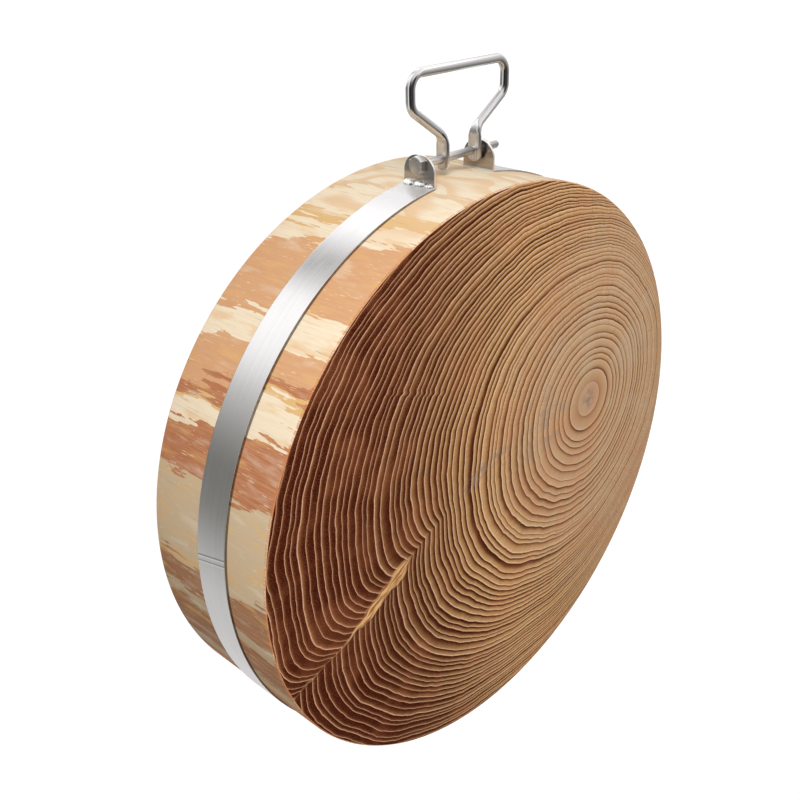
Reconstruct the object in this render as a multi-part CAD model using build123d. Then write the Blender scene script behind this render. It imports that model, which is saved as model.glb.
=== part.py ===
from build123d import *
import os
from math import acos, cos, radians, sin, tan

# Round end-grain chopping block with a clamped steel band and a swinging carrying handle.
# The block lies flat with its cutting face up. The origin is the centre of the face that it
# rests on, +Z is up, +Y points out through the handle, and the pivot bolt lies along X.
# All lengths are in millimetres and all angles in degrees.

# The block: a slice across a log, a little out of round because the wood has moved.
block_long = 408.0
block_short = 392.0
block_thick = 102.0
block_edge_round = 1.0

# The band: a steel strip round the rim, open between the two lugs, with one pressed crimp that
# leans a little out of square.
band_width = 25.0
band_thick = 1.0
band_middle_height = 55.6
crimp_angle = 175.8
crimp_lean = 13.7
crimp_width = 5.0
crimp_rise = 0.3

# The lugs: two upright ears, one on each end of the band, that the bolt goes through.
# They stand as far apart as the handle between them needs.
neck_to_lug_gap = 0.5
lug_thick = 1.5
lug_edge_inset = 0.25
lug_corner_radius = 10.5
lug_above_bolt = 5.9
lug_hole_clearance = 0.15

# The welds: one bead along the outer foot of each lug.
weld_radius = 3.0
weld_end_inset = 1.0
weld_sink = 0.4

# The bolt pulls the lugs together and is the handle's pivot. The nut is on its far end.
bolt_dia = 5.2
bolt_above_rim = 10.9
bolt_past_nut = 11.6
bolt_end_chamfer = 0.6
head_flats = 10.0
head_thick = 3.5
nut_thick = 5.0
corner_chamfer = 0.7

# The handle: one bent rod with its two ends pressed flat and drilled for the bolt.
# Reaches are measured from the bolt's centre line to the rod's centre line.
rod_dia = 6.0
handle_width = 86.0
handle_reach = 52.7
shoulder_reach = 32.6
neck_reach = 13.6
bend_radius = 9.0
pad_spacing = 30.0
pad_width = 10.0
pad_thick = 2.6
pad_tail = 7.0
handle_shift = 8.2
pivot_clearance = 0.08

# How far a cutting tool runs past what it cuts.
overrun = 2.0

os.makedirs("parts", exist_ok=True)

band_bottom = band_middle_height - band_width / 2
lug_opening = pad_spacing + rod_dia + 2 * (handle_shift + neck_to_lug_gap)
lug_outer = lug_opening / 2 + lug_thick
lug_width = band_width - 2 * lug_edge_inset
bolt_y = block_short / 2 + bolt_above_rim
bolt_head_x = -lug_outer
bolt_length = 2 * lug_outer + nut_thick + bolt_past_nut
pivot = Vector(0, bolt_y, band_middle_height)


def oval_prism(growth, bottom, height):
    """The block's outline, grown outwards and extruded upwards."""
    outline = Plane.XY.offset(bottom) * Ellipse(block_long / 2 + growth, block_short / 2 + growth)
    return extrude(outline, height)


def along_x(sketch, start_x, length):
    """A sketch drawn round the bolt's axis, extruded along X from start_x."""
    plane = Plane(origin=(start_x, pivot.Y, pivot.Z), x_dir=(0, 1, 0), z_dir=(1, 0, 0))
    return extrude(plane * sketch, length)


def rod_along_x(radius, start_x, length):
    """A round bar on the bolt's axis."""
    return along_x(Circle(radius), start_x, length)


# Block
def make_block():
    slice_of_log = oval_prism(0, 0, block_thick)
    rims = slice_of_log.edges().filter_by(GeomType.ELLIPSE)
    return fillet(rims, block_edge_round)


# Band
def make_band():
    strip = oval_prism(band_thick, band_bottom, band_width) - oval_prism(0, band_bottom, band_width)
    opening = Pos(0, bolt_y, band_middle_height) * Box(
        lug_opening, block_short / 2, band_width + overrun
    )
    return (strip - opening) + make_crimp()


def make_crimp():
    crimp_radius = (crimp_width**2 / 4 + crimp_rise**2) / (2 * crimp_rise)
    sink = crimp_radius - crimp_rise
    # The crimp's axis stands inside the band's outer face by the sink, so only its crown shows.
    # It leans along the face: turned to face outwards first, then tipped about that direction.
    axis_x = (block_long / 2 + band_thick - sink) * cos(radians(crimp_angle))
    axis_y = (block_short / 2 + band_thick - sink) * sin(radians(crimp_angle))
    facing = Pos(axis_x, axis_y, band_middle_height) * Rot(Z=crimp_angle) * Rot(X=crimp_lean)
    ridge = facing * Cylinder(crimp_radius, band_width + 2 * crimp_width)
    ridge &= oval_prism(band_thick + crimp_width, band_bottom, band_width)
    return ridge - oval_prism(0, band_bottom - overrun, band_width + 2 * overrun)


# Lugs and their welds, on one side. The other side is its mirror image.
def make_right_lug():
    foot_y = block_short / 4
    height = pivot.Y + lug_above_bolt - foot_y
    plate = Pos(lug_above_bolt - height / 2, 0) * Rectangle(height, lug_width)
    top_corners = plate.vertices().sort_by(Axis.X)[-2:]
    plate = fillet(top_corners, lug_corner_radius)
    hole = Circle(bolt_dia / 2 + lug_hole_clearance)
    lug = along_x(plate - hole, lug_opening / 2, lug_thick)
    return lug - oval_prism(band_thick, 0, block_thick)


def make_right_weld():
    foot_share = lug_outer / (block_long / 2 + band_thick)
    foot_y = (block_short / 2 + band_thick) * (1 - foot_share**2) ** 0.5
    length = band_width - 2 * weld_end_inset - 2 * weld_radius
    bead = Cylinder(weld_radius, length)
    for end in (-length / 2, length / 2):
        bead += Pos(0, 0, end) * Sphere(weld_radius)
    bead = Pos(lug_outer, foot_y - weld_sink, band_middle_height) * bead
    lug_side = Pos(lug_outer - weld_radius, foot_y, band_middle_height) * Box(
        2 * weld_radius, 2 * weld_radius + overrun, band_width
    )
    return (bead - oval_prism(band_thick, 0, block_thick)) - lug_side


# Bolt and nut
def hexagon_bar(start_x, length, chamfered_ends):
    """A hexagon with one corner up, its corners turned off at the ends numbered 0 and -1."""
    corner_up = RegularPolygon(head_flats / 2, 6, major_radius=False)
    corner_radius = head_flats / 2 / cos(radians(30))
    turned = rod_along_x(corner_radius, start_x, length)
    for end in chamfered_ends:
        turned = chamfer(turned.edges().group_by(Axis.X)[end], corner_chamfer)
    return along_x(corner_up, start_x, length) & turned


def make_bolt():
    head = hexagon_bar(bolt_head_x - head_thick, head_thick, [0])
    shank = rod_along_x(bolt_dia / 2, bolt_head_x, bolt_length)
    shank = chamfer(shank.edges().group_by(Axis.X)[-1], bolt_end_chamfer)
    return head + shank


def make_nut():
    nut = hexagon_bar(lug_outer, nut_thick, [0, -1])
    return nut - rod_along_x(bolt_dia / 2, lug_outer, nut_thick)


# Handle
def in_handle(across, reach):
    """A point in the handle's plane, from its middle line and the bolt's axis."""
    return Vector(handle_shift + across, pivot.Y + reach, pivot.Z)


def pressed_section(point, direction, width, thickness):
    """A flattened section of the rod, wide along Z, square to the rod's run."""
    plane = Plane(origin=point, x_dir=(0, 0, 1), z_dir=direction)
    return plane * SlotOverall(width, thickness)


def make_handle():
    neck = in_handle(pad_spacing / 2, neck_reach)
    shoulder = in_handle(handle_width / 2, shoulder_reach)
    run = (shoulder - neck).normalized()
    turn = acos(run.Y)
    tangent_length = bend_radius * tan(turn / 2)
    bend_start = neck - Vector(0, tangent_length, 0)
    bend_end = neck + run * tangent_length
    bend_centre = bend_start + Vector(bend_radius, 0, 0)
    half_way = bend_centre + Vector(-cos(turn / 2), sin(turn / 2), 0) * bend_radius

    # The rod: one sweep from neck to neck, over both shoulders and both top corners.
    mirror_plane = Plane(origin=in_handle(0, 0), z_dir=(1, 0, 0))
    right_side = [bend_end, shoulder, in_handle(handle_width / 2, handle_reach)]
    left_side = [Vector(2 * in_handle(0, 0).X - p.X, p.Y, p.Z) for p in reversed(right_side)]
    route = FilletPolyline(*right_side, *left_side, radius=bend_radius)
    rod = sweep(Plane(origin=bend_end, z_dir=run) * Circle(rod_dia / 2), path=route)

    # One end: the rod goes from round to flat round its lowest bend, then runs into the pad.
    mid_width = (rod_dia + pad_width) / 2
    mid_thick = (rod_dia + pad_thick) / 2
    end_neck = loft(
        [
            pressed_section(bend_start, (0, 1, 0), pad_width, pad_thick),
            pressed_section(half_way, (sin(turn / 2), cos(turn / 2), 0), mid_width, mid_thick),
            Plane(origin=bend_end, x_dir=(0, 0, 1), z_dir=run) * Circle(rod_dia / 2),
        ]
    )
    pad_length = bend_start.Y - pivot.Y + pad_tail
    pad = extrude(pressed_section(bend_start, (0, -1, 0), pad_width, pad_thick), pad_length)
    tail_centre = pad_width / 2 - pad_tail
    outline = Pos(tail_centre, 0) * Circle(pad_width / 2)
    outline += Pos(tail_centre + pad_length / 2, 0) * Rectangle(pad_length, pad_width)
    pad &= along_x(outline, bend_start.X - pad_width, 2 * pad_width)
    end = end_neck + pad

    handle = rod + end + mirror(end, about=mirror_plane)
    pivot_hole = rod_along_x(
        bolt_dia / 2 + pivot_clearance, handle_shift - handle_width / 2, handle_width
    )
    return handle - pivot_hole


right_lug = make_right_lug()
right_weld = make_right_weld()
parts = {
    "block": make_block(),
    "band": make_band(),
    "lug_right": right_lug,
    "lug_left": mirror(right_lug, about=Plane.YZ),
    "weld_right": right_weld,
    "weld_left": mirror(right_weld, about=Plane.YZ),
    "bolt": make_bolt(),
    "nut": make_nut(),
    "handle": make_handle(),
}
for name, part in parts.items():
    part.label = name
    export_step(part, f"parts/{name}.step")
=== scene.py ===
import bmesh
import bpy
from math import atan2, cos, degrees, exp, pi, radians, sin, tan
from mathutils import Euler, Matrix, Vector


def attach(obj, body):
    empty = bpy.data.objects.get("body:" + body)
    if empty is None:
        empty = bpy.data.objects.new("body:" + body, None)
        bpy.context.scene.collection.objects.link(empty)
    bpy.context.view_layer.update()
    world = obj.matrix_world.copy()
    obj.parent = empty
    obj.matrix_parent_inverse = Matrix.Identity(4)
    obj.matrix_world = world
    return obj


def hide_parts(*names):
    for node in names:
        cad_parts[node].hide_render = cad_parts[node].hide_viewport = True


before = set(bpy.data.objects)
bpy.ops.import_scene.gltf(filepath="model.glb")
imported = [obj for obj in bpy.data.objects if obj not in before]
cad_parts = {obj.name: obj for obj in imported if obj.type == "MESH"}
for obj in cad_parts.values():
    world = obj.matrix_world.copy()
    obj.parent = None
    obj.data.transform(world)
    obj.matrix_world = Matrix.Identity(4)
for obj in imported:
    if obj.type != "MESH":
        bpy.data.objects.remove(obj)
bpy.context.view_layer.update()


# Camera
# It looks down on the cutting face from the left of the handle, turned so that the handle
# points up the picture.
camera_data = bpy.data.cameras.new("camera")
camera_data.sensor_width = 36
camera_data.lens = 45.56
camera = bpy.data.objects.new("camera", camera_data)
camera.location = (-0.46774, 0.35149, 0.46436)
camera.rotation_euler = Euler((radians(-25.5547), radians(-46.2352), radians(-1.4524)))
bpy.context.collection.objects.link(camera)
bpy.context.scene.camera = camera


# Studio
# A plain pale floor under the block, a white background and soft lamps: a broad one beyond the
# handle and a weaker one over the cutting face.
floor_radius = 3.0
floor_drop = 0.0003
floor_glow = 0.78
room_light = 0.42


def srgb(red, green, blue):
    """A colour of a paint card, 0 to 255 each, as the linear colour that a shader takes."""
    steps = [v / 255 for v in (red, green, blue)]
    return tuple(v / 12.92 if v <= 0.04045 else ((v + 0.055) / 1.055) ** 2.4 for v in steps) + (1,)


class Finish:
    """A material, written as a chain of shader nodes."""

    def __init__(self, name):
        self.material = bpy.data.materials.new(name)
        self.material.use_nodes = True
        self.tree = self.material.node_tree
        self.tree.nodes.clear()
        self.end = self.tree.nodes.new("ShaderNodeOutputMaterial")
        self.place = self.node("ShaderNodeTexCoord").outputs["Object"]

    @classmethod
    def on_tree(cls, tree):
        """The same, for the nodes of the room's walls."""
        walls = cls.__new__(cls)
        walls.tree = tree
        tree.nodes.clear()
        walls.end = tree.nodes.new("ShaderNodeOutputWorld")
        return walls

    def node(self, kind, *values, **settings):
        """A node with its settings, and its inputs in order: a number, a colour or a socket."""
        made = self.tree.nodes.new(kind)
        for key, value in settings.items():
            setattr(made, key, value)
        for spot, value in enumerate(values):
            self.feed(made.inputs[spot], value)
        return made

    def feed(self, socket, value):
        if isinstance(value, bpy.types.NodeSocket):
            self.tree.links.new(value, socket)
        elif value is not None:
            socket.default_value = value

    def sum(self, operation, *values):
        return self.node("ShaderNodeMath", *values, operation=operation).outputs[0]

    def vector(self, operation, *values):
        return self.node("ShaderNodeVectorMath", *values, operation=operation)

    def between(self, value, low, high, start=0.0, end=1.0):
        """start below low, end above high, and a smooth step from one to the other."""
        step = self.node("ShaderNodeMapRange", value, low, high, start, end)
        step.interpolation_type = "SMOOTHSTEP"
        return step.outputs[0]

    def stretched(self, x, y, z):
        """The place on the piece, in millimetres divided by these grain lengths."""
        scale = (1000 / x, 1000 / y, 1000 / z)
        return self.node("ShaderNodeMapping", self.place, None, None, scale).outputs[0]

    def off(self, value, middle):
        """How far a value lies from this one, either way."""
        return self.sum("ABSOLUTE", self.sum("SUBTRACT", value, middle))

    def noise(self, where, detail=2.0, roughness=0.5):
        made = self.node("ShaderNodeTexNoise", where)
        for key, value in (("Scale", 1.0), ("Detail", detail), ("Roughness", roughness)):
            made.inputs[key].default_value = value
        return made.outputs[0]

    def mix(self, share, first, second, blend="MIX"):
        made = self.node("ShaderNodeMix", data_type="RGBA", blend_type=blend)
        for spot, value in ((0, share), (6, first), (7, second)):
            self.feed(made.inputs[spot], value)
        return made.outputs[2]

    def ramp(self, value, stops, interpolation="LINEAR"):
        """Colours along a value from 0 to 1: stops are (position, colour)."""
        made = self.node("ShaderNodeValToRGB", value)
        band = made.color_ramp
        band.interpolation = interpolation
        for spot, (position, colour) in enumerate(stops):
            stop = band.elements[spot] if spot < 2 else band.elements.new(position)
            stop.position = position
            stop.color = colour
        return made.outputs[0]

    def bump(self, height, strength, distance):
        made = self.node("ShaderNodeBump")
        for key, value in (("Strength", strength), ("Distance", distance), ("Height", height)):
            self.feed(made.inputs[key], value)
        return made.outputs[0]

    def surface(self, **values):
        """Ends the chain in one all-round shader. The names are its sockets' own names."""
        made = self.node("ShaderNodeBsdfPrincipled")
        for key, value in values.items():
            self.feed(made.inputs[key.replace("_", " ")], value)
        self.tree.links.new(made.outputs[0], self.end.inputs[0])
        return self.material


def made_piece(name, shape, finish, smooth=40):
    """An object from a bmesh, at the origin, with edges sharper than smooth degrees kept crisp."""
    bmesh.ops.remove_doubles(shape, verts=shape.verts, dist=1e-6)
    bmesh.ops.recalc_face_normals(shape, faces=shape.faces)
    mesh = bpy.data.meshes.new(name)
    shape.to_mesh(mesh)
    shape.free()
    mesh.materials.append(finish)
    for face in mesh.polygons:
        face.use_smooth = True
    mesh.set_sharp_from_angle(angle=radians(smooth))
    piece = bpy.data.objects.new(name, mesh)
    bpy.context.collection.objects.link(piece)
    return piece


floor_finish = Finish("pale_floor")
floor_mottle = floor_finish.noise(floor_finish.stretched(400, 400, 400), detail=3)
floor_colour = floor_finish.mix(floor_mottle, srgb(169, 169, 169), srgb(174, 173, 172))
floor_paint = floor_finish.node("ShaderNodeBsdfDiffuse", floor_colour)
floor_ray = floor_finish.node("ShaderNodeLightPath").outputs
seen = floor_finish.sum("MAXIMUM", floor_ray["Is Camera Ray"], floor_ray["Is Glossy Ray"])
seen = floor_finish.sum("MAXIMUM", seen, floor_ray["Is Transmission Ray"])
seen = floor_finish.sum("MULTIPLY", seen, floor_glow)
glow = floor_finish.node("ShaderNodeEmission", (1, 1, 1, 1), seen)
both = floor_finish.node("ShaderNodeAddShader", floor_paint.outputs[0], glow.outputs[0])
floor_finish.tree.links.new(both.outputs[0], floor_finish.end.inputs[0])

floor_shape = bmesh.new()
bmesh.ops.create_circle(floor_shape, cap_ends=True, segments=96, radius=floor_radius)
bmesh.ops.translate(floor_shape, verts=floor_shape.verts, vec=(0, 0, -floor_drop))
floor = made_piece("floor", floor_shape, floor_finish.material)
floor.visible_glossy = False

# What bright metal mirrors, by compass bearing: low down, white screens beyond the handle and
# grey walls; high up, a bright ceiling beyond the handle and the dark of the room behind the
# camera. Everything else gets an even light.
room = bpy.data.worlds.new("room")
room.use_nodes = True
room_walls = Finish.on_tree(room.node_tree)
room_view = room_walls.node("ShaderNodeTexCoord").outputs["Generated"]
room_view = room_walls.node("ShaderNodeSeparateXYZ", room_view)
bearing_in_room = room_walls.sum("ARCTAN2", room_view.outputs[1], room_view.outputs[0])
bearing_in_room = room_walls.sum("MULTIPLY_ADD", bearing_in_room, 0.5 / pi, 0.5)
low_screens = [
    (-180, 0.26), (-160, 0.31), (-140, 0.62), (-122, 0.80), (-80, 0.82), (-40, 0.72), (-5, 0.80),
    (30, 0.98), (35, 1.05), (41, 1.90), (47, 1.15), (58, 1.66), (71, 1.70), (80, 1.15),
    (89, 0.58), (97, 0.95), (106, 1.62), (120, 1.58), (132, 1.46), (141, 1.15), (149, 0.84),
    (160, 0.58), (170, 0.38), (180, 0.26),
]
high_screens = [
    (-180, 0.03), (-150, 0.03), (-110, 0.10), (-60, 0.14), (-28, 0.26), (11, 0.66), (30, 0.95),
    (35, 1.0), (41, 2.2), (47, 1.1), (60, 1.2), (110, 1.0), (150, 0.15), (168, 0.04), (180, 0.03),
]
low_light, high_light = (
    room_walls.ramp(
        bearing_in_room,
        [
            (bearing / 360 + 0.5, (level, level * 0.985, level * (0.92 + 0.09 * min(level, 1)), 1))
            for bearing, level in screens
        ],
    )
    for screens in (low_screens, high_screens)
)
mirrored = room_walls.mix(
    room_walls.between(room_view.outputs[2], -0.15, 0.30), low_light, high_light
)
mirrored = room_walls.mix(
    room_walls.between(room_view.outputs[2], 0.78, 0.93), mirrored, (0.06, 0.06, 0.07, 1)
)
off_horizon = room_walls.sum("ABSOLUTE", room_walls.sum("ADD", room_view.outputs[2], 0.06))
horizon = room_walls.between(off_horizon, 0.12, 0.30, 0.75, 0.0)
mirrored = room_walls.mix(horizon, mirrored, (1.35, 1.35, 1.35, 1))
room_ray = room_walls.node("ShaderNodeLightPath")
seen_in_metal = room_walls.sum(
    "MAXIMUM", room_ray.outputs["Is Glossy Ray"], room_ray.outputs["Is Transmission Ray"]
)
even = (room_light, room_light, room_light, 1)
seen_colour = room_walls.mix(seen_in_metal, even, mirrored)
seen_colour = room_walls.mix(room_ray.outputs["Is Camera Ray"], seen_colour, (1, 1, 1, 1))
room_glow = room_walls.node("ShaderNodeBackground", seen_colour)
room_walls.tree.links.new(room_glow.outputs[0], room_walls.end.inputs[0])
bpy.context.scene.world = room


def soft_lamp(name, place, aim, size, power):
    data = bpy.data.lights.new(name, "AREA")
    data.shape = "SQUARE"
    data.size = size
    data.energy = power
    lamp = bpy.data.objects.new(name, data)
    lamp.location = place
    lamp.rotation_euler = (Vector(aim) - Vector(place)).to_track_quat("-Z", "Y").to_euler()
    lamp.visible_glossy = False
    bpy.context.collection.objects.link(lamp)


soft_lamp("lamp_over_handle", (-0.9, 1.4, 0.9), (0, 0.05, 0.05), 0.9, 24)
soft_lamp("lamp_over_face", (-0.3, -0.2, 1.8), (0, 0, 0.1), 0.9, 10)

bpy.context.scene.view_settings.view_transform = "Standard"


# Block
# One slice across a softwood log, turned round and brushed on the cutting face, so that the
# soft early wood is dark and sunk and the hard late wood stands up as pale lines. The rim is
# cut along the fibres and shows them as cream and orange patches.
block_long = 0.408
block_short = 0.392
block_thick = 0.102
block_edge_round = 0.001
half_long_mm = 1000 * block_long / 2
half_short_mm = 1000 * block_short / 2
band_middle_mm = 55.6
pith = (100.7, 19.6, 0.0)
ring_step = 5.5

wood = Finish("brushed_softwood")
place_mm = wood.vector("SCALE", wood.place)
place_mm.inputs["Scale"].default_value = 1000
place_mm = place_mm.outputs[0]
split = wood.node("ShaderNodeSeparateXYZ", place_mm)
x_mm, y_mm, z_mm = split.outputs[0], split.outputs[1], split.outputs[2]


def wander(across_rings, along_fibre, reach):
    """A sideways push of the rings, in millimetres, that changes over these two lengths."""
    where = wood.stretched(across_rings, across_rings, along_fibre)
    made = wood.node("ShaderNodeTexNoise", where)
    made.inputs["Scale"].default_value = 1.0
    made.inputs["Detail"].default_value = 1.0
    sideways = wood.vector("SUBTRACT", made.outputs[1], (0.5, 0.5, 0.5)).outputs[0]
    return wood.vector("MULTIPLY", sideways, (reach, reach, 0)).outputs[0]


slow = wander(95, 500, 11.0)
quick = wander(9, 90, 1.5)
from_pith = wood.vector("SUBTRACT", place_mm, pith).outputs[0]
from_pith = wood.vector("MULTIPLY", from_pith, (1, 1, 0)).outputs[0]
far_out = wood.vector("LENGTH", from_pith).outputs["Value"]
calm = wood.between(far_out, 8, 90, 0.12, 1.0)
push = wood.vector("ADD", slow, quick).outputs[0]
push_scaled = wood.vector("SCALE", push)
wood.feed(push_scaled.inputs["Scale"], calm)
from_pith = wood.vector("ADD", from_pith, push_scaled.outputs[0]).outputs[0]

radius = wood.vector("LENGTH", from_pith).outputs["Value"]
heading = wood.vector("NORMALIZE", from_pith).outputs[0]
split_heading = wood.node("ShaderNodeSeparateXYZ", heading)
east, north = split_heading.outputs[0], split_heading.outputs[1]

# The tree grew fast to the left and slowly to the right. This turns the distance from the pith
# into the same ring's distance on the fast side.
spread = wood.vector("DOT_PRODUCT", heading, (0.11, -0.08, 0))
spread = wood.sum("ADD", spread.outputs["Value"], 1.13)
crowding = wood.sum("MULTIPLY_ADD", east, 0.0033, 0.0035)
pace = 1.14
evened = wood.sum("DIVIDE", radius, spread)
left = wood.sum("POWER", wood.sum("MULTIPLY", evened, crowding), pace)
left = wood.sum("POWER", wood.sum("SUBTRACT", 1.0, wood.sum("MINIMUM", left, 0.93)), 1 / pace)
grown = wood.sum("DIVIDE", evened, left)

# Waves that neighbouring rings share: they change with the bearing, and slowly outwards.
waves_at = wood.node(
    "ShaderNodeCombineXYZ", wood.sum("MULTIPLY", east, 7.0), wood.sum("MULTIPLY", north, 7.0),
    wood.sum("MULTIPLY_ADD", z_mm, 0.004, wood.sum("DIVIDE", radius, 62.0)),
).outputs[0]
waves = wood.noise(waves_at, detail=1.3, roughness=0.4)
waves = wood.sum("MULTIPLY", wood.sum("SUBTRACT", waves, 0.5), wood.sum("MULTIPLY", radius, 0.028))
grown = wood.sum("ADD", grown, waves)

# The scar: the rings dip towards the pith along a line that runs to the rim at the lower left.
bearing = wood.sum("ARCTAN2", wood.sum("MULTIPLY", north, -1.0), wood.sum("MULTIPLY", east, -1.0))
bearing = wood.sum("MULTIPLY", bearing, 180 / pi)
behind = wood.sum("DIVIDE", wood.sum("SUBTRACT", 300.0, far_out), 150.0)
scar_bearing = wood.sum("MULTIPLY_ADD", wood.sum("MULTIPLY", behind, behind), -9.0, 17.0)
off_scar = wood.sum("SUBTRACT", bearing, scar_bearing)
off_scar = wood.sum("MULTIPLY", off_scar, wood.sum("MULTIPLY", far_out, pi / 180))
scar_depth = wood.between(far_out, 122, 232, 0.0, 17.0)
above = wood.sum("DIVIDE", wood.sum("MAXIMUM", wood.sum("MULTIPLY", off_scar, -1.0), 0.0), 12.0)
below = wood.sum("DIVIDE", wood.sum("MAXIMUM", off_scar, 0.0), 26.0)
dip = wood.sum("EXPONENT", wood.sum("MULTIPLY", wood.sum("ADD", above, below), -1.0))
grown = wood.sum("MULTIPLY_ADD", dip, scar_depth, grown)

# A fainter crease above the scar nicks the rings in a short stretch.
off_crease = wood.sum("ADD", bearing, 21.0)
off_crease = wood.sum("MULTIPLY", off_crease, wood.sum("MULTIPLY", far_out, pi / 180))
nick = wood.between(wood.sum("ABSOLUTE", off_crease), 0.3, 2.6, 1.0, 0.0)
nick = wood.sum("MULTIPLY", nick, wood.between(wood.off(far_out, 195), 18, 34, 1.4, 0.0))
grown = wood.sum("ADD", grown, nick)


# Ring widths vary from year to year, and wide years come in groups.
def over_the_years(span):
    """A value from 0 to 1 that changes over this many millimetres of growth."""
    made = wood.node("ShaderNodeTexNoise", noise_dimensions="1D")
    wood.feed(made.inputs["W"], wood.sum("DIVIDE", grown, span))
    made.inputs["Scale"].default_value = 1.0
    made.inputs["Detail"].default_value = 0.0
    return made.outputs[0]


# The first years round the pith are the widest.
first_years = wood.sum("EXPONENT", wood.sum("DIVIDE", grown, -30.0))
count = wood.sum("MULTIPLY_ADD", first_years, 2.6, wood.sum("DIVIDE", grown, ring_step))
count = wood.sum("MULTIPLY_ADD", over_the_years(27.0), 0.9, count)
count = wood.sum("MULTIPLY_ADD", over_the_years(8.5), 0.60, count)
season = wood.sum("FRACT", count)
year = wood.sum("FLOOR", count)
year_look = wood.node("ShaderNodeTexWhiteNoise", noise_dimensions="1D")
wood.feed(year_look.inputs["W"], year)
year_look = year_look.outputs["Value"]

# Early wood is dark and late wood pale. How much of a ring is pale differs from year to year.
off_middle = wood.sum("MAXIMUM", wood.sum("SUBTRACT", wood.sum("ABSOLUTE", y_mm), 50.0), 0.0)
outer_share = wood.sum("MULTIPLY_ADD", off_middle, -0.22, x_mm)
outer_share = wood.between(outer_share, -150, 20, 1.0, 0.0)
lateness = wood.sum("MULTIPLY_ADD", outer_share, 0.45, 0.42)
ripening = wood.sum("POWER", season, wood.sum("MULTIPLY_ADD", year_look, 0.75, lateness))
# Ring colours round the pith and over the right side: the wood's own, and partly a painted sheen.
pith_rings_and_sheen = wood.ramp(ripening, [
    (0.0, srgb(84, 48, 29)), (0.09, srgb(108, 68, 43)), (0.23, srgb(164, 122, 87)),
    (0.46, srgb(194, 156, 117)), (0.88, srgb(208, 172, 134)), (0.96, srgb(228, 192, 155)),
    (1.0, srgb(104, 64, 42)),
])
middle_rings = wood.ramp(ripening, [
    (0.0, srgb(52, 20, 9)), (0.17, srgb(68, 30, 15)), (0.32, srgb(112, 66, 36)),
    (0.47, srgb(166, 119, 72)), (0.68, srgb(198, 154, 103)), (0.86, srgb(210, 169, 121)),
    (0.93, srgb(246, 210, 172)), (0.97, srgb(196, 148, 108)), (1.0, srgb(52, 20, 9)),
])
outer_rings = wood.ramp(ripening, [
    (0.0, srgb(62, 20, 9)), (0.34, srgb(66, 23, 11)), (0.52, srgb(80, 35, 18)),
    (0.68, srgb(104, 58, 31)), (0.80, srgb(132, 86, 52)), (0.875, srgb(160, 112, 76)),
    (0.91, srgb(226, 184, 154)), (0.96, srgb(190, 142, 112)), (0.985, srgb(62, 20, 9)),
])
pith_and_sheen_share = wood.sum("MULTIPLY_ADD", x_mm, -0.5, wood.sum("MULTIPLY", far_out, 0.9))
pith_and_sheen_share = wood.between(pith_and_sheen_share, 10, 125, 1.0, 0.0)
pith_rings_and_sheen = wood.mix(wood.between(far_out, 9, 19), srgb(196, 160, 126), pith_rings_and_sheen)
face_colour = wood.mix(outer_share, middle_rings, outer_rings)
face_colour = wood.mix(pith_and_sheen_share, face_colour, pith_rings_and_sheen)
# Where the rings crowd together on the slow side they run into one tan, partly a painted sheen.
crowded_tan_and_sheen = wood.between(left, 0.42, 0.62, 0.5, 0.0)
face_colour = wood.mix(crowded_tan_and_sheen, face_colour, srgb(190, 150, 116))

# Brushing leaves fine lines across the rings, pale specks in the dark early wood, a grey bloom
# at the pith and at the head of the scar, and a pale ridge along the scar.
across = wood.node(
    "ShaderNodeCombineXYZ", wood.sum("MULTIPLY", east, 210.0), wood.sum("MULTIPLY", north, 210.0),
    wood.sum("DIVIDE", radius, 7.0),
).outputs[0]
fine_lines = wood.noise(across, detail=2.0, roughness=0.6)
specks = wood.noise(wood.stretched(0.7, 0.7, 3), detail=2.0)
face_colour = wood.mix(
    wood.between(fine_lines, 0.30, 0.72, 0.0, 0.26), face_colour, srgb(66, 26, 12)
)
face_colour = wood.mix(
    wood.between(specks, 0.55, 0.72, 0.0, 0.40), face_colour, srgb(176, 122, 82)
)
cloud = wood.noise(wood.stretched(34, 34, 200), detail=2.0, roughness=0.6)
face_colour = wood.mix(
    wood.between(cloud, 0.45, 0.70, 0.0, wood.sum("MULTIPLY_ADD", pith_and_sheen_share, 0.10, 0.14)),
    face_colour, srgb(190, 118, 78),
)
face_colour = wood.mix(
    wood.between(cloud, 0.28, 0.46, wood.sum("MULTIPLY", pith_and_sheen_share, 0.30), 0.0),
    face_colour, srgb(188, 168, 140),
)
bloom = wood.noise(wood.stretched(5, 5, 20), detail=3.0, roughness=0.6)
pith_bloom = wood.between(far_out, 3, 12, 1.0, 0.0)
pith_bloom = wood.sum("MULTIPLY", pith_bloom, wood.between(bloom, 0.40, 0.62))
smear_reach = wood.between(wood.off(far_out, 52.0), 10, 34, 0.45, 0.0)
smear_side = wood.between(wood.sum("ABSOLUTE", bearing), 12, 40, 1.0, 0.0)
smear_reach = wood.sum("MULTIPLY", smear_reach, smear_side)
smear = wood.noise(wood.stretched(14, 9, 40), detail=3.0, roughness=0.5)
smear = wood.sum("MULTIPLY", smear_reach, wood.between(smear, 0.46, 0.64))
pith_bloom = wood.sum("MAXIMUM", pith_bloom, smear)
head_of_scar = wood.between(wood.off(far_out, 118.0), 6, 36, 1.0, 0.0)
beside_scar = wood.sum("ABSOLUTE", off_scar)
scar_bloom = wood.sum("MULTIPLY", head_of_scar, wood.between(beside_scar, 1, 7, 1.0, 0.0))
scar_bloom = wood.sum("MULTIPLY", scar_bloom, wood.between(bloom, 0.42, 0.62))
face_colour = wood.mix(
    wood.sum("MULTIPLY", wood.sum("MAXIMUM", pith_bloom, scar_bloom), 0.75),
    face_colour, srgb(132, 116, 108),
)
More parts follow.
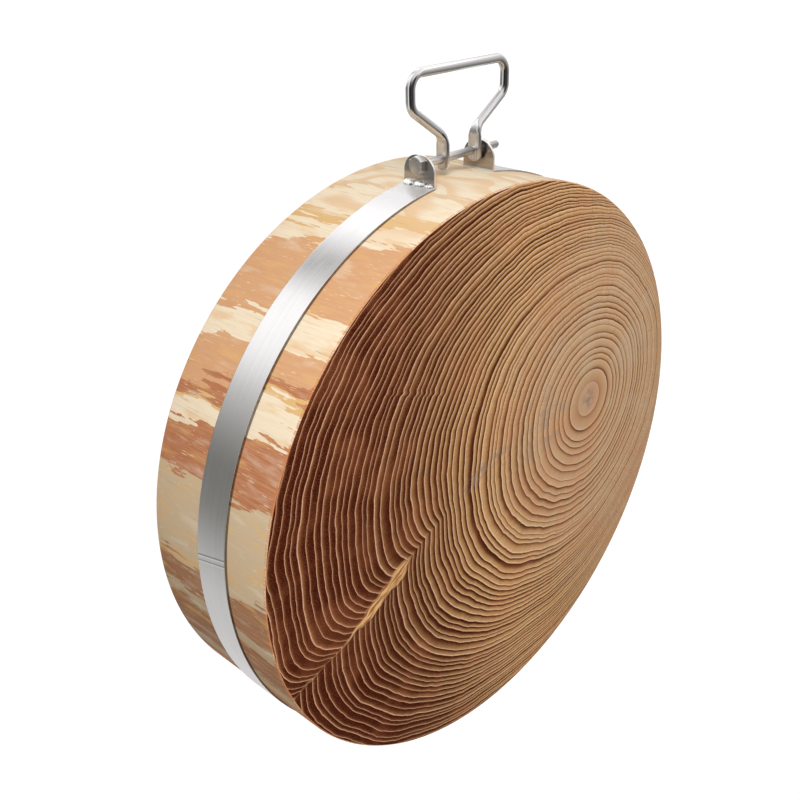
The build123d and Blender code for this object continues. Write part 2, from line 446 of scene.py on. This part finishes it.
# The scar itself: a braid of pale strands, widest at its upper end, then a thin crease out to
# the rim.
braid_half = wood.between(wood.off(far_out, 222.0), 6, 36, 4.6, 0.9)
upper_leaf = wood.between(wood.off(far_out, 207.0), 3, 15, 6.4, 0.9)
braid_half = wood.sum("MAXIMUM", braid_half, upper_leaf)
braid_sway = wood.noise(wood.stretched(9, 9, 40), detail=1.0)
braid_at = wood.sum("MULTIPLY_ADD", wood.sum("SUBTRACT", braid_sway, 0.5), 5.0, off_scar)
strands_at = wood.node(
    "ShaderNodeCombineXYZ", wood.sum("MULTIPLY", braid_at, 0.8),
    wood.sum("MULTIPLY", far_out, 0.085), 0.0,
).outputs[0]
strands = wood.between(wood.noise(strands_at, detail=2.0), 0.38, 0.62)
strand_colour = wood.mix(strands, srgb(150, 98, 56), srgb(222, 176, 122))
braid = wood.sum("DIVIDE", wood.sum("ABSOLUTE", braid_at), braid_half)
braid = wood.between(braid, 0.55, 1.15, 0.95, 0.0)
braid = wood.sum("MULTIPLY", braid, wood.between(far_out, 188, 200))
braid = wood.sum("MULTIPLY", braid, wood.between(far_out, 244, 266, 1.0, 0.25))
crease = wood.sum("ABSOLUTE", wood.sum("SUBTRACT", braid_at, braid_half))
crease = wood.between(crease, 0.3, 1.2, 0.6, 0.0)
crease = wood.sum("MULTIPLY", crease, wood.between(far_out, 180, 205))
face_colour = wood.mix(crease, face_colour, srgb(64, 28, 14))
face_colour = wood.mix(braid, face_colour, strand_colour)

# Rim patches, by the angle round the rim. A push that is long along the fibres and short across
# them tears their edges into tongues.
rim_push = wood.noise(wood.stretched(4.0, 4.0, 32), detail=3.0, roughness=0.62)
rim_push = wood.sum("MULTIPLY", wood.sum("SUBTRACT", rim_push, 0.5), 9.5)
rim_sway = wood.noise(wood.stretched(30, 30, 40), detail=1.0)
rim_sway = wood.sum("MULTIPLY", wood.sum("SUBTRACT", rim_sway, 0.5), 7.0)
seam_angle = -45.0
middle_angle = seam_angle + 180
cosine, sine = cos(radians(middle_angle)), sin(radians(middle_angle))
round_x = wood.vector(
    "DOT_PRODUCT", place_mm, (cosine / half_long_mm, sine / half_short_mm, 0)
).outputs["Value"]
round_y = wood.vector(
    "DOT_PRODUCT", place_mm, (-sine / half_long_mm, cosine / half_short_mm, 0)
).outputs["Value"]
true_angle = wood.sum("MULTIPLY", wood.sum("ARCTAN2", round_y, round_x), 180 / pi)
true_angle = wood.sum("ADD", true_angle, middle_angle)
rim_angle = wood.sum("ADD", true_angle, wood.sum("ADD", rim_push, rim_sway))
rim_lean = wood.between(true_angle, 148, 163, 0.054, 0.0)
rim_angle = wood.sum("MULTIPLY_ADD", wood.sum("SUBTRACT", z_mm, 54.0), rim_lean, rim_angle)
# Above the band the third cream patch reaches further round towards the lugs.
reach = wood.sum("MULTIPLY", wood.between(z_mm, 58, 78), wood.between(true_angle, 140, 144))
reach = wood.sum("MULTIPLY", reach, wood.between(true_angle, 146.5, 150.8, 2.6, 0.0))
rim_angle = wood.sum("ADD", rim_angle, reach)
cream, orange = srgb(239, 223, 196), srgb(212, 160, 118)
gold, russet = srgb(220, 178, 118), srgb(180, 114, 78)
fawn, painted_shade_orange = srgb(212, 174, 132), srgb(160, 112, 82)
painted_shade_cream, half_shade_cream = srgb(190, 168, 136), srgb(202, 180, 148)
# Painted shade: from 163 to 205 degrees, where the rim turns away from the lamps, cream and orange
# give way to darker shaded copies of themselves.
patches = [
    (-45, orange), (-36, cream), (-15, fawn), (-3, orange), (14, cream), (30, russet), (44, cream),
    (60, fawn), (64, cream), (98.5, fawn), (101, cream), (108.5, gold), (112, cream),
    (116.3, orange), (131, cream), (137.3, orange), (144, russet),
    (146.5, gold), (149, cream), (152.5, russet), (163, half_shade_cream), (180, painted_shade_orange), (186, painted_shade_cream),
    (188.5, painted_shade_orange), (200, painted_shade_cream), (205, russet), (222, cream), (241, orange), (249, cream),
    (271, fawn), (278, cream), (302, orange),
]
rim_colour = wood.ramp(
    wood.sum("DIVIDE", wood.sum("SUBTRACT", rim_angle, seam_angle), 360.0),
    [((angle - seam_angle) / 360, colour) for angle, colour in patches],
    "CONSTANT",
)

# Round the lugs the rim cuts along the rings, as long nested tongues of tan on cream. Nearer the
# lugs a painted highlight makes the cream paler.
arches = wood.noise(wood.stretched(42, 60, 96), detail=1.0, roughness=0.4)
arches = wood.sum("FRACT", wood.sum("MULTIPLY", arches, 9.0))
arches = wood.sum(
    "MULTIPLY", wood.between(arches, 0.40, 0.72), wood.between(arches, 0.90, 0.97, 1.0, 0.0)
)
arches = wood.sum("MULTIPLY", arches, wood.between(wood.off(true_angle, 90.0), 14, 30, 0.85, 0.0))
rim_colour = wood.mix(arches, rim_colour, srgb(222, 176, 124))

# Each patch drifts towards gold or towards a deeper shade of itself.
mottle = wood.noise(wood.stretched(9, 9, 34), detail=3.0, roughness=0.55)
rim_colour = wood.mix(
    wood.between(mottle, 0.50, 0.72, 0.0, 0.55), rim_colour, srgb(224, 176, 112)
)
rim_colour = wood.mix(
    wood.between(mottle, 0.26, 0.46, 0.30, 0.0), rim_colour, srgb(240, 228, 206)
)
# Painted highlight: the rim is lightened towards the lugs, on its top, where the light falls most.
painted_highlight_near_lugs = wood.between(wood.off(true_angle, 92.0), 6, 26, 0.34, 0.0)
rim_colour = wood.mix(painted_highlight_near_lugs, rim_colour, srgb(252, 238, 214), "LIGHTEN")

# Fine fibre along the rim: a soft streak, short pale tears and thin brown lines.
streaks = wood.noise(wood.stretched(0.9, 0.9, 26), detail=3.0, roughness=0.65)
tears = wood.noise(wood.stretched(0.8, 0.8, 9), detail=2.0, roughness=0.5)
veins = wood.noise(wood.stretched(0.6, 0.6, 30), detail=2.0, roughness=0.5)
rim_colour = wood.mix(
    wood.between(streaks, 0.35, 0.72, 0.0, 0.30), rim_colour, srgb(220, 186, 146)
)
rim_colour = wood.mix(wood.between(tears, 0.66, 0.72, 0.0, 0.75), rim_colour, srgb(236, 214, 182))
rim_colour = wood.mix(wood.between(veins, 0.24, 0.34, 0.42, 0.0), rim_colour, srgb(148, 98, 62))

# A painted shadow: a dark line on the rim along each edge of the band, where the band shades the
# wood.
from_band = wood.off(z_mm, band_middle_mm)
band_shadow_line = wood.between(from_band, 12.3, 12.6)
band_shadow_line = wood.sum("MULTIPLY", band_shadow_line, wood.between(from_band, 13.1, 13.9, 1.0, 0.0))
between_lugs = wood.between(wood.sum("ABSOLUTE", x_mm), 26, 29, 1.0, 0.0)
between_lugs = wood.sum("MULTIPLY", between_lugs, wood.between(y_mm, 0, 9))
band_shadow_line = wood.sum("MULTIPLY", band_shadow_line, wood.sum("SUBTRACT", 1.0, between_lugs))
rim_colour = wood.mix(wood.sum("MULTIPLY", band_shadow_line, 0.8), rim_colour, srgb(52, 36, 26))

# A thin orange-brown line is painted along the corner between rim and faces, broken up by the
# fibre streaks.
out_share = wood.vector("MULTIPLY", place_mm, (1 / half_long_mm, 1 / half_short_mm, 0))
out_share = wood.vector("LENGTH", out_share.outputs[0]).outputs["Value"]
on_rim = wood.between(out_share, 0.9952, 0.9968)
block_colour = wood.mix(on_rim, face_colour, rim_colour)
from_middle = wood.off(z_mm, 51.0)
corner = wood.between(out_share, 0.9950, 0.9962)
corner = wood.sum("MULTIPLY", corner, wood.between(from_middle, 49.8, 50.4))
corner = wood.sum("MULTIPLY", corner, wood.between(streaks, 0.35, 0.6, 0.1, 0.7))
block_colour = wood.mix(corner, block_colour, srgb(186, 112, 68))

brushed = wood.between(far_out, 50, 150, 0.35, 1.0)
brushed = wood.sum("MULTIPLY", brushed, wood.sum("SUBTRACT", 1.0, on_rim))
relief = wood.sum("MULTIPLY", ripening, brushed)
relief = wood.sum("MULTIPLY_ADD", wood.sum("MULTIPLY", fine_lines, brushed), 0.35, relief)
relief = wood.sum("MULTIPLY_ADD", wood.sum("MULTIPLY", tears, on_rim), 0.5, relief)
wood_finish = wood.surface(
    Base_Color=block_colour,
    Roughness=0.6,
    Specular_IOR_Level=wood.sum("MULTIPLY", ripening, 0.06),
    Normal=wood.bump(relief, 0.26, 0.0004),
)

block_shape = bmesh.new()
bmesh.ops.create_circle(block_shape, cap_ends=True, segments=360, radius=0.5)
bmesh.ops.scale(block_shape, verts=block_shape.verts, vec=(block_long, block_short, 1))
grown_up = bmesh.ops.extrude_face_region(block_shape, geom=block_shape.faces[:])
upper = [v for v in grown_up["geom"] if isinstance(v, bmesh.types.BMVert)]
bmesh.ops.translate(block_shape, verts=upper, vec=(0, 0, block_thick))
bmesh.ops.recalc_face_normals(block_shape, faces=block_shape.faces)
rims = [e for e in block_shape.edges if len(e.link_faces) == 2 and e.calc_face_angle() > 1]
bmesh.ops.bevel(
    block_shape, geom=rims, affect="EDGES", offset=block_edge_round, segments=4,
    profile=0.5, material=-1,
)
block = made_piece("wood_slice", block_shape, wood_finish)
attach(block, "base")
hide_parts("block")


# Band
# A strip of stainless steel 25 mm wide and 1 mm thick, bent round the rim and open between the
# lugs. One crimp is pressed across it, a flat strip with a thin raised lip on each side that
# leans out of square. The steel is brushed along its length.
band_width = 0.025
band_thick = 0.001
band_middle = 0.0556
band_edge_round = 0.00022
lug_opening = 0.0534
crimp_angle = 175.8
crimp_lean = 13.7
crimp_width = 0.005
crimp_rise = 0.00006
lip_rise = 0.00017
lip_half = 0.00058

band_steel = Finish("brushed_band_steel")
brush = band_steel.noise(band_steel.stretched(90, 90, 0.22), detail=3.0)
rub = band_steel.noise(band_steel.stretched(14, 14, 7), detail=3.0, roughness=0.6)
# Where it was welded to the lugs the strip is duller.
from_lugs = band_steel.node("ShaderNodeSeparateXYZ", band_steel.place)
from_lugs = band_steel.sum("SUBTRACT", 0.197, from_lugs.outputs[1])
worn = band_steel.sum(
    "ADD", band_steel.between(rub, 0.3, 0.7, 0.0, 0.05),
    band_steel.between(from_lugs, 0.0018, 0.006, 0.20, 0.0),
)
band_finish = band_steel.surface(
    Base_Color=band_steel.mix(
        band_steel.between(brush, 0.3, 0.7), (0.60, 0.595, 0.58, 1), (0.66, 0.655, 0.64, 1)
    ),
    Metallic=band_steel.between(from_lugs, 0.0022, 0.0075, 0.45, 1.0),
    Roughness=band_steel.sum("ADD", band_steel.between(brush, 0.2, 0.8, 0.15, 0.19), worn),
    Normal=band_steel.bump(brush, 0.05, 0.00004),
)

band_shape = bmesh.new()
outer_long = block_long / 2 + band_thick
outer_short = block_short / 2 + band_thick - 0.00002
bmesh.ops.create_grid(band_shape, x_segments=1, y_segments=1, size=0.5)
bmesh.ops.scale(band_shape, verts=band_shape.verts, vec=(band_thick, band_width, 1))
bmesh.ops.bevel(
    band_shape, geom=band_shape.verts[:], affect="VERTICES", offset=band_edge_round, segments=3,
    profile=0.5, material=-1,
)
long_sides = [e for e in band_shape.edges if e.calc_length() > band_width / 2]
bmesh.ops.subdivide_edges(band_shape, edges=long_sides, cuts=48)
bmesh.ops.rotate(band_shape, verts=band_shape.verts, matrix=Matrix.Rotation(pi / 2, 3, "X"))
bmesh.ops.translate(
    band_shape, verts=band_shape.verts, vec=(outer_long - band_thick / 2, 0, band_middle)
)
band_end = 90 + degrees(atan2(lug_opening / 2, outer_long))
bmesh.ops.rotate(
    band_shape, verts=band_shape.verts, matrix=Matrix.Rotation(radians(band_end), 3, "Z")
)
# The strip is swept round in fine steps at the crimp and in coarser ones elsewhere.
front = band_shape.faces[:]
for turn_to, steps in ((crimp_angle - 2, 80), (crimp_angle + 2, 140), (540 - band_end, 270)):
    turned = bmesh.ops.spin(
        band_shape, geom=front, cent=(0, 0, 0), axis=(0, 0, 1), steps=steps,
        angle=radians(turn_to - band_end),
    )
    band_end = turn_to
    front = turned["geom_last"]
for v in band_shape.verts:
    off_crimp = radians(degrees(atan2(v.co.y, v.co.x)) - crimp_angle) * outer_long
    off_crimp = abs(off_crimp + (v.co.z - band_middle) * tan(radians(crimp_lean)))
    if off_crimp < crimp_width and v.co.xy.length > outer_long - band_thick / 2:
        lip = exp(-(((off_crimp - crimp_width / 2 + lip_half) / lip_half) ** 2))
        rise = lip_rise * lip + (crimp_rise if off_crimp < crimp_width / 2 else 0)
        v.co.xy *= 1 + rise / outer_long
bmesh.ops.scale(band_shape, verts=band_shape.verts, vec=(1, outer_short / outer_long, 1))
band = made_piece("band_strip", band_shape, band_finish)
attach(band, "base")
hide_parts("band")


# Lugs
# Two ears of thicker sheet, one on each end of the band, standing square to it. They are
# polished, so they look dark, and their rounded edges catch the light.
lug_edge_round = 0.00022

lug_steel = Finish("polished_lug_steel")
lug_rub = lug_steel.noise(lug_steel.stretched(0.6, 0.6, 8), detail=3.0, roughness=0.6)
lug_side_on = lug_steel.node("ShaderNodeTexCoord").outputs["Normal"]
lug_side_on = lug_steel.node("ShaderNodeSeparateXYZ", lug_side_on).outputs[0]
lug_side_on = lug_steel.between(lug_steel.sum("ABSOLUTE", lug_side_on), 0.80, 0.97)
lug_finish = lug_steel.surface(
    Base_Color=lug_steel.mix(
        lug_side_on, (0.88, 0.86, 0.83, 1),
        lug_steel.mix(lug_rub, (0.38, 0.35, 0.32, 1), (0.50, 0.47, 0.44, 1)),
    ),
    Metallic=1.0,
    Roughness=lug_steel.sum(
        "MULTIPLY_ADD", lug_side_on, -0.22, lug_steel.between(lug_rub, 0.2, 0.8, 0.36, 0.46)
    ),
    Normal=lug_steel.bump(lug_rub, 0.05, 0.00004),
)


def dressed(node, name, edge_round, finish):
    """The part's own shape in one skin, with its sharp edges rounded off."""
    shape = bmesh.new()
    shape.from_mesh(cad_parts[node].data)
    bmesh.ops.remove_doubles(shape, verts=shape.verts, dist=1e-6)
    bmesh.ops.dissolve_limit(
        shape, angle_limit=radians(0.5), verts=shape.verts, edges=shape.edges
    )
    bmesh.ops.recalc_face_normals(shape, faces=shape.faces)
    sharp = [e for e in shape.edges if len(e.link_faces) == 2 and e.calc_face_angle() > 0.5]
    bmesh.ops.bevel(
        shape, geom=sharp, affect="EDGES", offset=edge_round, segments=3, profile=0.5,
        material=-1, clamp_overlap=True,
    )
    return made_piece(name, shape, finish)


for side in ("left", "right"):
    lug = dressed(f"lug_{side}", f"{side}_ear", lug_edge_round, lug_finish)
    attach(lug, "base")
    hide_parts(f"lug_{side}")


# Welds
# A bead of weld along the outer foot of each lug: two large drops of bright metal and a small
# one, with a dark crease between them.
weld_radius = 0.0030
weld_sink = 0.0004
into_lug = 0.0003
drops = [(-0.0072, 1.25), (0.0012, 1.22), (0.0086, 0.85)]
lug_outer = 0.0282

weld_metal = Finish("weld_metal")
weld_crease = weld_metal.noise(weld_metal.stretched(1.4, 1.4, 1.4), detail=3.0, roughness=0.6)
weld_finish = weld_metal.surface(
    Base_Color=weld_metal.mix(
        weld_metal.between(weld_crease, 0.36, 0.46), (0.30, 0.25, 0.22, 1), (0.95, 0.94, 0.92, 1)
    ),
    Metallic=1.0,
    Roughness=weld_metal.between(weld_crease, 0.3, 0.7, 0.40, 0.20),
    Normal=weld_metal.bump(weld_crease, 0.7, 0.0004),
)

foot_y = outer_short * (1 - (lug_outer / outer_long) ** 2) ** 0.5
for side, sign in (("left", -1), ("right", 1)):
    weld_shape = bmesh.new()
    for along, fullness in drops:
        bmesh.ops.create_uvsphere(
            weld_shape, u_segments=28, v_segments=16, radius=weld_radius * fullness,
            matrix=Matrix.Translation((sign * lug_outer, foot_y - weld_sink, band_middle + along))
            @ Matrix.Diagonal((1.15, 0.92, 1.28, 1)),
        )
    bmesh.ops.bisect_plane(
        weld_shape, geom=weld_shape.verts[:] + weld_shape.edges[:] + weld_shape.faces[:],
        plane_co=(sign * (lug_outer - into_lug), 0, 0), plane_no=(sign, 0, 0), clear_inner=True,
    )
    weld = made_piece(f"{side}_weld_drops", weld_shape, weld_finish)
    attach(weld, "base")
    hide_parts(f"weld_{side}")


# Bolt
# A hexagon bolt that pulls the lugs together. It has a bare head, a plain shank between the
# lugs that the handle swings on, and a rolled thread for the nut.
bolt_y = 0.2069
bolt_radius = 0.0026
bolt_end = 0.0448
head_flats = 0.010
head_thick = 0.0035
head_rim = 0.0004
thread_start = 0.0208
thread_pitch = 0.0008
thread_depth = 0.00045
turn_steps = 24

bolt_steel = Finish("bolt_steel")
bolt_rub = bolt_steel.noise(bolt_steel.stretched(9, 1.1, 1.1), detail=3.0)
along_bolt = bolt_steel.node("ShaderNodeSeparateXYZ", bolt_steel.place).outputs[0]
on_head = bolt_steel.between(along_bolt, -lug_outer - 0.0002, -lug_outer, 1.0, 0.0)
off_end = bolt_steel.node("ShaderNodeTexCoord").outputs["Normal"]
off_end = bolt_steel.sum("ABSOLUTE", bolt_steel.node("ShaderNodeSeparateXYZ", off_end).outputs[0])
off_end = bolt_steel.sum("MULTIPLY", bolt_steel.between(off_end, 0.55, 0.92, 1.0, 0.0), on_head)
bolt_finish = bolt_steel.surface(
    Base_Color=bolt_steel.mix(
        on_head,
        bolt_steel.mix(bolt_rub, (0.70, 0.685, 0.67, 1), (0.80, 0.785, 0.77, 1)),
        bolt_steel.mix(off_end, (0.55, 0.53, 0.51, 1), (0.96, 0.95, 0.94, 1)),
    ),
    Metallic=1.0,
    Roughness=bolt_steel.sum(
        "MULTIPLY_ADD", off_end, 0.14, bolt_steel.between(bolt_rub, 0.2, 0.8, 0.26, 0.36)
    ),
    Normal=bolt_steel.bump(bolt_rub, 0.06, 0.00005),
)

onto_bolt = Matrix.Translation((0, bolt_y, band_middle)) @ Matrix.Rotation(pi / 2, 4, "Y")


def bar_ring(shape, x, radius):
    """A ring of edges round the bolt's axis."""
    made = bmesh.ops.create_circle(
        shape, segments=48, radius=radius, matrix=Matrix.Translation((x, 0, 0)) @ onto_bolt
    )
    return [e for e in shape.edges if all(v in made["verts"] for v in e.verts)]


root_radius = bolt_radius - thread_depth
bolt_shape = bmesh.new()
rings = [
    bar_ring(bolt_shape, x, radius) for x, radius in (
        (-lug_outer - 0.0001, bolt_radius), (thread_start - 0.0006, bolt_radius),
        (thread_start, root_radius), (bolt_end - 0.0004, root_radius),
        (bolt_end, root_radius - 0.0005),
    )
]
for near, far in zip(rings, rings[1:]):
    bmesh.ops.bridge_loops(bolt_shape, edges=near + far)
bmesh.ops.holes_fill(bolt_shape, edges=rings[0] + rings[-1], sides=0)

# The thread: one tooth's outline, sunk a little into the core and wound along the bolt.
tooth = [
    bolt_shape.verts.new((thread_start - 0.0003 + x, bolt_y, band_middle + r)) for x, r in (
        (0.0, root_radius - 0.0001), (0.00030, bolt_radius), (0.00042, bolt_radius),
        (thread_pitch, root_radius - 0.0001),
    )
]
tooth_edges = [bolt_shape.edges.new(pair) for pair in zip(tooth, tooth[1:])]
turns = int((bolt_end - 0.0006 - thread_start) / thread_pitch)
bmesh.ops.spin(
    bolt_shape, geom=tooth + tooth_edges, cent=(0, bolt_y, band_middle), axis=(1, 0, 0),
    dvec=(thread_pitch / turn_steps, 0, 0), angle=2 * pi * turns, steps=turn_steps * turns,
)
bolt = made_piece("bolt_shank", bolt_shape, bolt_finish)
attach(bolt, "base")
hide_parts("bolt")

# The head: a hexagon with one corner up. Its sides are cut in ten, so that the outer face can
# slope back towards its corners as if they were turned off, round a flat middle.
head_start = -lug_outer - head_thick
head_shape = bmesh.new()
bmesh.ops.create_circle(
    head_shape, segments=6, radius=head_flats / 2 / cos(pi / 6), cap_ends=True,
    matrix=Matrix.Translation((head_start, 0, 0)) @ onto_bolt,
)
bmesh.ops.subdivide_edges(head_shape, edges=head_shape.edges[:], cuts=9)
near_face = head_shape.faces[:]
far_face = bmesh.ops.extrude_face_region(head_shape, geom=near_face, use_keep_orig=True)["geom"]
far_verts = [v for v in far_face if isinstance(v, bmesh.types.BMVert)]
bmesh.ops.translate(head_shape, verts=far_verts, vec=(head_thick, 0, 0))
for v in near_face[0].verts:
    away = (v.co.yz - Vector((bolt_y, band_middle))).length
    v.co.x += 0.6 * (away - head_flats / 2 * 0.96)
bmesh.ops.inset_region(head_shape, faces=near_face, thickness=head_rim, use_even_offset=True)
for v in near_face[0].verts:
    v.co.x = head_start
head = made_piece("bolt_head", head_shape, bolt_finish, smooth=20)
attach(head, "base")


# Nut
# A plain hexagon nut on the bolt's far end, tight against the right lug. Its edges are rounded
# off a little, and it's of the bolt's own steel.
nut_edge_round = 0.0002
nut = dressed("nut", "bolt_nut", nut_edge_round, bolt_finish)
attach(nut, "base")
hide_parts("nut")


# Handle
# One bent steel rod, polished bright, with its ends pressed flat and drilled for the bolt. It
# swings on the bolt, and its pads are brushed where they were pressed.
handle_edge_round = 0.0003

handle_steel = Finish("polished_handle_steel")
handle_rub = handle_steel.noise(handle_steel.stretched(22, 0.9, 0.9), detail=3.0)
pad_brush = handle_steel.noise(handle_steel.stretched(0.35, 14, 0.35), detail=2.0)
out_from_bolt = handle_steel.node("ShaderNodeSeparateXYZ", handle_steel.place).outputs[1]
on_pad = handle_steel.between(out_from_bolt, bolt_y + 0.009, bolt_y + 0.017, 1.0, 0.0)
handle_finish = handle_steel.surface(
    Base_Color=handle_steel.mix(
        handle_steel.sum("MULTIPLY", on_pad, handle_steel.between(pad_brush, 0.38, 0.62)),
        handle_steel.mix(handle_rub, (0.60, 0.59, 0.58, 1), (0.70, 0.69, 0.68, 1)),
        (0.86, 0.84, 0.85, 1),
    ),
    Metallic=1.0,
    Roughness=handle_steel.sum(
        "MULTIPLY_ADD", on_pad, 0.20, handle_steel.between(handle_rub, 0.2, 0.8, 0.07, 0.12)
    ),
    Normal=handle_steel.bump(handle_steel.mix(on_pad, handle_rub, pad_brush), 0.08, 0.00006),
)
handle = dressed("handle", "bent_rod", handle_edge_round, handle_finish)
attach(handle, "handle")
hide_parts("handle")
